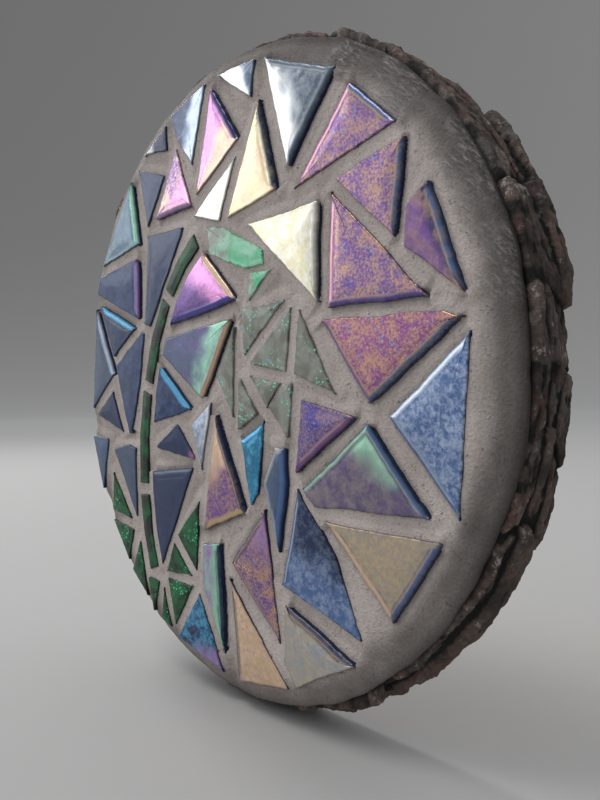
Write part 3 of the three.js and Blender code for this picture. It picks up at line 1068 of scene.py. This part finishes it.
@dataclass
class GroutBed:
    """The grout: nearly flush with cut edges, lower beside moulded ones, and drawn down to the bark."""

    shapes: list[ShardShape]
    rings: int = 118
    steps: int = 720
    fill: float = 1.35 * MM
    fill_reach: float = 4.6 * MM
    bare: float = 1.25 * MM
    bare_reach: float = 2.2 * MM
    search: float = 5.0 * MM
    settle: float = 0.1 * MM
    border_slope: float = 1.7 * MM
    border_width: float = 6.0 * MM
    lump: float = 0.10 * MM
    sand: float = 0.05 * MM
    stroke: float = 0.45 * MM
    brush_bearing: float = math.radians(40.0)
    stroke_way: tuple[float, float] = (0.77, -0.64)
    ragged: float = 0.75 * MM
    lips: tuple[tuple[float, float], ...] = ((0.25, 0.35), (0.15, 1.1), (-0.6, 1.9), (-3.0, 2.4))

    def near_shards(self, places: np.ndarray) -> tuple[np.ndarray, np.ndarray]:
        """Distance to the nearest shard, and how bare the sides of the shards round about stand.

        A moulded edge bares its side by exp(-d / reach), and the largest of these holds.

        Args:
            places: Points (across, up), (n, 2).

        Returns:
            Distances, metres, at most the length searched, and bareness from 0 to 1.
        """
        nearest = np.full(len(places), self.search)
        bared = np.zeros(len(places))
        for shape in self.shapes:
            outline = shape.outline()[::2]
            low = outline.min(axis=0) - self.search
            high = outline.max(axis=0) + self.search
            near = np.flatnonzero(((places > low) & (places < high)).all(axis=1))
            distance, facing = EdgeField(outline).measure(places[near])
            bare = shape.shoulders(facing) * np.exp(-distance / self.bare_reach)
            nearest[near] = np.minimum(nearest[near], distance)
            bared[near] = np.maximum(bared[near], bare)
        return nearest, bared

    def brushed(self, across: np.ndarray, up: np.ndarray, edge: np.ndarray) -> np.ndarray:
        """Where the wet grout was brushed: near the border, round one bearing, in patches.

        Args:
            across: To the right, metres.
            up: Upwards, metres.
            edge: How far inside the face's edge each point lies, metres.

        Returns:
            0 where it was left alone to 1 where the strokes are full.
        """
        near = smooth(0.78, 0.95, np.cos(np.arctan2(up, across) - self.brush_bearing))
        patches = flat_grain(across, up, 7.0 * MM, 31.0, 2)
        return near * smooth(9.5 * MM, 6.0 * MM, edge) * smooth(-0.35, 0.15, patches)

    def heights(self, across: np.ndarray, up: np.ndarray, edge: np.ndarray) -> np.ndarray:
        """Height of the grout: bed + fill ease(d) - bare b + drifts - fall, which grows towards the edge.

        Args:
            across: To the right, metres.
            up: Upwards, metres.
            edge: How far inside the face's edge each point lies, metres.

        Returns:
            Heights out of the wall, metres.
        """
        flat = np.stack([across, up], axis=-1).reshape(-1, 2)
        distance, bared = (part.reshape(across.shape) for part in self.near_shards(flat))
        full = self.fill * (0.30 + 0.70 * smooth(self.fill_reach, 0.6 * MM, distance))
        right, rise = self.stroke_way
        over, along = right * up - rise * across, right * across + rise * up
        strokes = self.brushed(across, up, edge) * flat_grain(over, 0.25 * along, 1.3 * MM, 2.0, 3)
        drift = self.lump * flat_grain(across, up, 9.0 * MM, 4.0, 3)
        drift = drift + self.sand * flat_grain(across, up, 1.1 * MM, 9.0, 3) + self.stroke * strokes
        fall = self.border_slope * np.clip(1.0 - edge / self.border_width, 0.0, 1.0) ** 1.6
        return BED_TOP - self.settle + full - self.bare * bared + drift - fall

    def tint(self, bearing: np.ndarray, inside: np.ndarray) -> np.ndarray:
        """How much light the grout keeps, as painted shade: darker near its border and most of all on the
        right.

        Args:
            bearing: Bearings, radians, (steps,).
            inside: How far inside the edge each point lies, metres, (rings, steps).

        Returns:
            Factors for the colour, (rings, steps).
        """
        # painted shade: darker on the right, away from the light, and where the border slopes down
        right_shade = 0.44 + 0.26 * smooth(-0.2, 0.9, np.cos(bearing - math.radians(25.0)))
        return 1.0 - 0.15 * smooth(2.2 * MM, 0.2 * MM, inside) - right_shade * smooth(9.0 * MM, 3.0 * MM, inside)

    def build(self) -> bpy.types.Object:
        """Makes the bed: rings of the field, with a ragged edge that drops to the bark, and a flat back.

        Returns:
            The bed's object.
        """
        bearing = np.arange(self.steps) * TURN / self.steps
        ragged = grain(unit_ring(bearing) * 11.0, 6.0, 4)
        reach = face_reach(bearing) + 0.15 * MM + self.ragged * ragged
        out = np.linspace(0.02, 1.0, self.rings)[:, None] * reach
        inside = reach - out
        across, up = out * np.cos(bearing), out * np.sin(bearing)
        tops = self.heights(across, up, inside)
        under = [polar(bearing, reach + more * MM, tops[-1] - drop * MM) for more, drop in self.lips]
        rows = np.concatenate([spot(across, up, tops), np.stack(under)])
        tint = self.tint(bearing, inside)
        # painted shade under the ragged edge: the lips keep 0.8 of the edge's light
        tint = np.concatenate([tint, np.tile(tint[-1] * 0.8, (len(under), 1))])
        comb = np.concatenate([self.brushed(across, up, inside), np.zeros((len(under), self.steps))])
        glaze = np.stack([tint, tint, tint, comb], axis=-1)
        piece = Skin("grout_face", rows, {"glaze": glaze}).build()
        piece.data.materials.append(SandyGrout().build())
        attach(piece, "root")
        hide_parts("grout_bed")
        LOG.info("%s: %d faces", piece.name, len(piece.data.polygons))
        return piece


# ---------------------------------------------------------------- the slice


@dataclass
class TrunkSlice:
    """The slice of trunk: sawn back with its rings, and thick flaking bark."""

    plates: int = 22
    layers: int = 3
    bark_thick: float = 2.3 * MM
    step: float = 2.0 * MM
    lean: float = 1.6 * MM
    furrow: float = 2.0 * MM
    leaf: float = 0.22 * MM
    chip: float = 0.30 * MM
    crumb: float = 0.16 * MM
    ledge: float = 1.1 * MM
    seam_width: float = 0.05  # of a plate or a layer
    clear_rise: float = 0.9 * MM
    reach_least: float = -0.4 * MM
    rim_inset: float = 1.6 * MM
    rim_inner: tuple[float, ...] = (0.55, 0.25, 0.0)
    rim_drops: tuple[float, ...] = (0.15, 0.6, 1.3)  # millimetres below the crest
    back_shares: tuple[float, ...] = (0.05, 0.3, 0.6, 0.9, 0.955, 0.965, 0.99)
    wood_share: float = 0.96
    steps: int = 1080
    side_rows: int = 64

    def relief(self, bearing: np.ndarray, high: np.ndarray) -> tuple[np.ndarray, np.ndarray]:
        """How far the bark reaches past the face, and how high each point stands on its plate.

        place = 22 b / 360 + 0.5 sin 5b + noise picks the plate. Each plate and layer stands out by its own
        lump and leans its own way, cracks run between them, and noise cut into steps makes leaves.

        Args:
            bearing: Bearings, radians.
            high: Height up the side, 0 at the back to 1 at the face.

        Returns:
            Reach past the face's edge, metres, and how clear each point stands, 0 in a crack to 1 on a ridge.
        """
        ring = unit_ring(bearing)
        upward = high[..., None] * np.array([0.0, 0.0, 1.0])
        jag = 0.45 * grain(ring * 4.0 + 1.6 * upward, 19.0, 2)
        jag = jag + 0.04 * grain(ring * 30.0 + 6.0 * upward, 15.0, 3)
        place = self.plates * bearing / TURN + 0.5 * np.sin(5.0 * bearing) + jag
        plate = np.mod(np.floor(place), self.plates)
        side = place - np.floor(place)
        apart = np.minimum(side, 1.0 - side)
        level = self.layers * high + 0.16 * grain(ring * 12.0, 7.0, 3)
        layer = np.clip(np.floor(level), 0.0, self.layers - 1.0)
        spread = np.sin((plate + self.plates * layer) * 12.9898) * 43758.5453
        lump = spread - np.floor(spread) - 0.5
        tilt = (side - 0.5) * (2.0 * lattice(np.stack([plate, layer, 0.0 * layer], axis=-1), 3.0) - 1.0)
        flakes = grain(ring * 9.0 + 5.0 * upward, 5.0, 4)
        chips = grain(ring * 40.0 + 9.0 * upward, 8.0, 3)
        crumbs = grain(ring * 90.0 + 22.0 * upward, 11.0, 2)
        leaves = 5.0 * flakes + 0.8 * chips
        leaves = np.floor(leaves) + smooth(0.55, 0.95, leaves - np.floor(leaves))
        open_crack = smooth(-0.5, 0.4, grain(ring * 6.0 + 1.5 * upward, 23.0, 2))
        crack = np.exp(-((apart / self.seam_width) ** 2)) * open_crack
        seam = np.abs(level - np.round(level)) + 1.0 * (np.round(level) >= self.layers)
        ledge = np.exp(-((seam / self.seam_width) ** 2)) * smooth(-0.25, 0.35, flakes)
        reach = self.bark_thick + self.step * lump + self.lean * tilt - self.furrow * crack
        reach += self.leaf * leaves + self.chip * chips + self.crumb * crumbs - self.ledge * ledge
        return reach, self.openness(reach)

    def openness(self, reach: np.ndarray) -> np.ndarray:
        """How far each point stands clear: 0.5 + (reach - mean of reach round about) / rise, kept in 0..1.

        Args:
            reach: Reach of the bark, (rows, steps), metres.

        Returns:
            0 deep in a crack to 1 on a ridge.
        """
        near, count = 8, 9  # steps to each side, and samples across them
        around = sum(np.roll(reach, shift, axis=1) for shift in range(-near, near + 1, 2)) / count
        padded = np.pad(around, ((near, near), (0, 0)), mode="edge")
        around = sum(padded[shift : shift + len(reach)] for shift in range(0, 2 * near + 1, 2)) / count
        return np.clip(0.5 + (reach - around) / self.clear_rise, 0.0, 1.0)

    def build(self) -> bpy.types.Object:
        """Makes the slice: rings of the back, rows up the bark, and a rim that dips under the grout.

        Returns:
            The slice's object.
        """
        bearing = np.arange(self.steps) * TURN / self.steps
        around, high = np.broadcast_arrays(bearing, np.linspace(0.0, 1.0, self.side_rows)[:, None])
        reach, stand = self.relief(around, high)
        face = face_reach(bearing)
        ring = unit_ring(bearing)
        ends = 0.5 * MM * (smooth(0.05, 0.0, high) + smooth(0.94, 1.0, high))
        out = face + np.maximum(reach, self.reach_least) - ends
        crest = WOOD_THICK + 0.7 * MM + 0.8 * MM * grain(ring * 14.0, 12.0, 3)
        share = np.array(self.back_shares)[:, None]
        back = polar(bearing, share * (out[0] - 0.4 * MM), 0.0 * share)
        inner = face - self.rim_inset
        rim_reach = inner + np.array(self.rim_inner)[:, None] * (out[-1] - inner)
        rim_chips = 0.25 * MM * grain(ring * 30.0, 2.0, 3)
        rim = polar(bearing, rim_reach, crest - np.array(self.rim_drops)[:, None] * MM + rim_chips)
        rows = np.concatenate([back, polar(bearing, out, high * crest), rim])
        low, top = (np.array(corner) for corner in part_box("wood_slice"))
        rows = np.clip(rows, np.array([low[0], -GLASS_TOP, low[2]]), np.array([top[0], 0.0, top[2]]))
        streak = 0.5 + 0.5 * grain(ring * 26.0 + high[..., None] * np.array([0.0, 0.0, 3.0]), 14.0, 3)
        streak = streak + 0.25 * smooth(0.55, 1.0, high)
        flat, edge = back.shape[:2], rim.shape[:2]
        wood = np.broadcast_to(share < self.wood_share, flat)
        sawn = np.concatenate([wood, np.zeros(high.shape), np.zeros(edge)])
        # the rim under the grout stands 0.8 as clear as the top row, so it takes more painted crack shade
        tall = np.concatenate([np.ones(flat), stand, np.broadcast_to(stand[-1] * 0.8, edge)])
        flake = np.concatenate([np.zeros(flat), streak, np.broadcast_to(streak[-1], edge)])
        glaze = np.stack([sawn, tall, flake, np.ones(sawn.shape)], axis=-1)
        piece = Skin("trunk_slice", rows, {"glaze": glaze}).build()
        piece.data.materials.append(BarkAndWood().build())
        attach(piece, "root")
        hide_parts("wood_slice")
        LOG.info("%s: %d faces", piece.name, len(piece.data.polygons))
        return piece


# ---------------------------------------------------------------- the studio


@dataclass(frozen=True)
class Softbox:
    """A flat soft light: degrees to the right of the front and above level, metres, and watts."""

    name: str
    azimuth: float
    elevation: float
    away: float
    size: tuple[float, float]
    watts: float


def way_from(azimuth: float, elevation: float) -> Vector:
    """The direction (sin az cos el, -cos az cos el, sin el), from the panel to a thing round it.

    Args:
        azimuth: Round from the front, to the right, radians.
        elevation: Above level, radians.

    Returns:
        A unit vector.
    """
    level = math.cos(elevation)
    return Vector((math.sin(azimuth) * level, -math.cos(azimuth) * level, math.sin(elevation)))


@dataclass
class Studio:
    """Floor, sweep, lights and camera."""

    target: tuple[float, float, float] = (5.9 * MM, 0.0, -5.9 * MM)
    distance: float = 195.5 * MM
    azimuth: float = math.radians(48.24)
    elevation: float = math.radians(0.67)
    roll: float = math.radians(-0.875)
    lens: float = 36.0
    sensor: float = 36.0
    clip: tuple[float, float] = (5.0 * MM, 50.0)
    floor_tone: Colour = (0.42, 0.41, 0.40, 1.0)
    floor_reach: float = 2.4
    floor_steps: int = 96
    bend: float = 1.0
    bend_steps: int = 24
    wall: float = 2.5
    sky_tone: Colour = (0.94, 0.965, 1.0, 1.0)
    sky_left: float = 1.05
    sky_right: float = 0.24
    lights: tuple[Softbox, ...] = (
        Softbox("window", -57.0, 21.0, 2.0, (0.60, 0.86), 2.5),
        Softbox("strip", -98.0, 40.0, 1.0, (0.14, 0.6), 2.6),
        Softbox("top", -30.0, 66.0, 1.6, (0.9, 0.5), 8.0),
    )

    def aim(self, thing: bpy.types.Object, eye: Vector, target: Vector, roll: float = 0.0) -> None:
        """Turns a thing at eye so that its -Z looks at target and its X is cos(roll) right + sin(roll) up.

        Args:
            thing: Camera or light.
            eye: Where it stands.
            target: Where it looks.
            roll: Turn about its own axis, radians.
        """
        forward = (target - eye).normalized()
        right = forward.cross(Vector((0.0, 0.0, 1.0))).normalized()
        up = right.cross(forward)
        level = math.cos(roll) * right + math.sin(roll) * up
        head = -math.sin(roll) * right + math.cos(roll) * up
        turn = Matrix((level, head, -forward)).transposed()
        thing.matrix_world = Matrix.Translation(eye) @ turn.to_4x4()

    def camera(self) -> None:
        """Adds the camera, which stands its distance away along its azimuth and elevation."""
        data = bpy.data.cameras.new("camera")
        data.lens = self.lens
        data.sensor_width = self.sensor
        data.clip_start, data.clip_end = self.clip
        camera = bpy.data.objects.new("camera", data)
        bpy.context.scene.collection.objects.link(camera)
        target = Vector(self.target)
        eye = target + way_from(self.azimuth, self.elevation) * self.distance
        self.aim(camera, eye, target, self.roll)
        bpy.context.scene.camera = camera

    def softbox(self, box: Softbox) -> None:
        """Adds a soft light that faces the panel's middle and can't be seen itself."""
        data = bpy.data.lights.new(box.name, "AREA")
        data.shape = "RECTANGLE"
        data.size, data.size_y = box.size
        data.energy = box.watts
        light = bpy.data.objects.new(box.name, data)
        light.visible_camera = False
        bpy.context.scene.collection.objects.link(light)
        eye = way_from(math.radians(box.azimuth), math.radians(box.elevation)) * box.away
        self.aim(light, eye, Vector((0.0, -GLASS_TOP, 0.0)))

    def turned(self, name: str, reach: np.ndarray, rise: np.ndarray) -> bpy.types.Object:
        """Adds a surface turned about +Z: (r cos a, r sin a, foot + h).

        Args:
            name: Its name.
            reach: Distances from the axis, metres.
            rise: Heights above the foot of the panel, metres.

        Returns:
            The surface's object.
        """
        around = np.arange(self.floor_steps) * TURN / self.floor_steps
        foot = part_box("wood_slice")[0][2]
        points = reach[:, None, None] * unit_ring(around)
        points[..., 2] = (rise + foot)[:, None]
        quads = grid_quads(len(reach), self.floor_steps)[:, ::-1]
        thing = link_mesh(name, points.reshape(-1, 3), quads.tolist())
        return thing

    def floor(self) -> None:
        """Adds the floor, and a sweep round it that bends up on a quarter circle and lets light through."""
        graph = Graph("pale floor")
        graph.plain(Base_Color=self.floor_tone, Roughness=0.9)
        turn = np.linspace(0.0, math.pi / 2.0, self.bend_steps)
        flat = self.turned("floor", np.array([0.5 * MM, 1.0, self.floor_reach]), np.zeros(3))
        reach = np.append(self.floor_reach + self.bend * np.sin(turn), self.floor_reach + self.bend)
        rise = np.append(self.bend * (1.0 - np.cos(turn)), self.bend + self.wall)
        sweep = self.turned("sweep", reach, rise)
        sweep.visible_diffuse = sweep.visible_glossy = sweep.visible_shadow = False
        for thing in (flat, sweep):
            thing.data.materials.append(graph.material)

    def sky(self) -> None:
        """Sets the soft grey light all round, brighter from the left."""
        world = bpy.data.worlds.new("studio")
        bpy.context.scene.world = world
        world.use_nodes = True
        tree = world.node_tree
        back = tree.nodes["Background"]
        way = tree.nodes.new("ShaderNodeTexCoord").outputs["Generated"]
        parts = tree.nodes.new("ShaderNodeSeparateXYZ")
        reach = tree.nodes.new("ShaderNodeMapRange")
        tree.links.new(way, parts.inputs["Vector"])
        tree.links.new(parts.outputs["X"], reach.inputs["Value"])
        tree.links.new(reach.outputs["Result"], back.inputs["Strength"])
        reach.inputs["From Min"].default_value = -1.0
        reach.inputs["To Min"].default_value = self.sky_left
        reach.inputs["To Max"].default_value = self.sky_right
        back.inputs["Color"].default_value = self.sky_tone

    def build(self) -> None:
        """Sets up everything that isn't the object."""
        self.camera()
        self.floor()
        self.sky()
        for box in self.lights:
            self.softbox(box)
        bpy.context.scene.view_settings.view_transform = "Standard"


def main() -> None:
    """Builds the panel piece by piece."""
    logging.basicConfig(level=logging.INFO, format="%(name)s: %(message)s")
    Studio().build()
    mosaic = Mosaic()
    mosaic.build()
    GroutBed(mosaic.shapes).build()
    TrunkSlice().build()


if __name__ == "__main__":
    main()
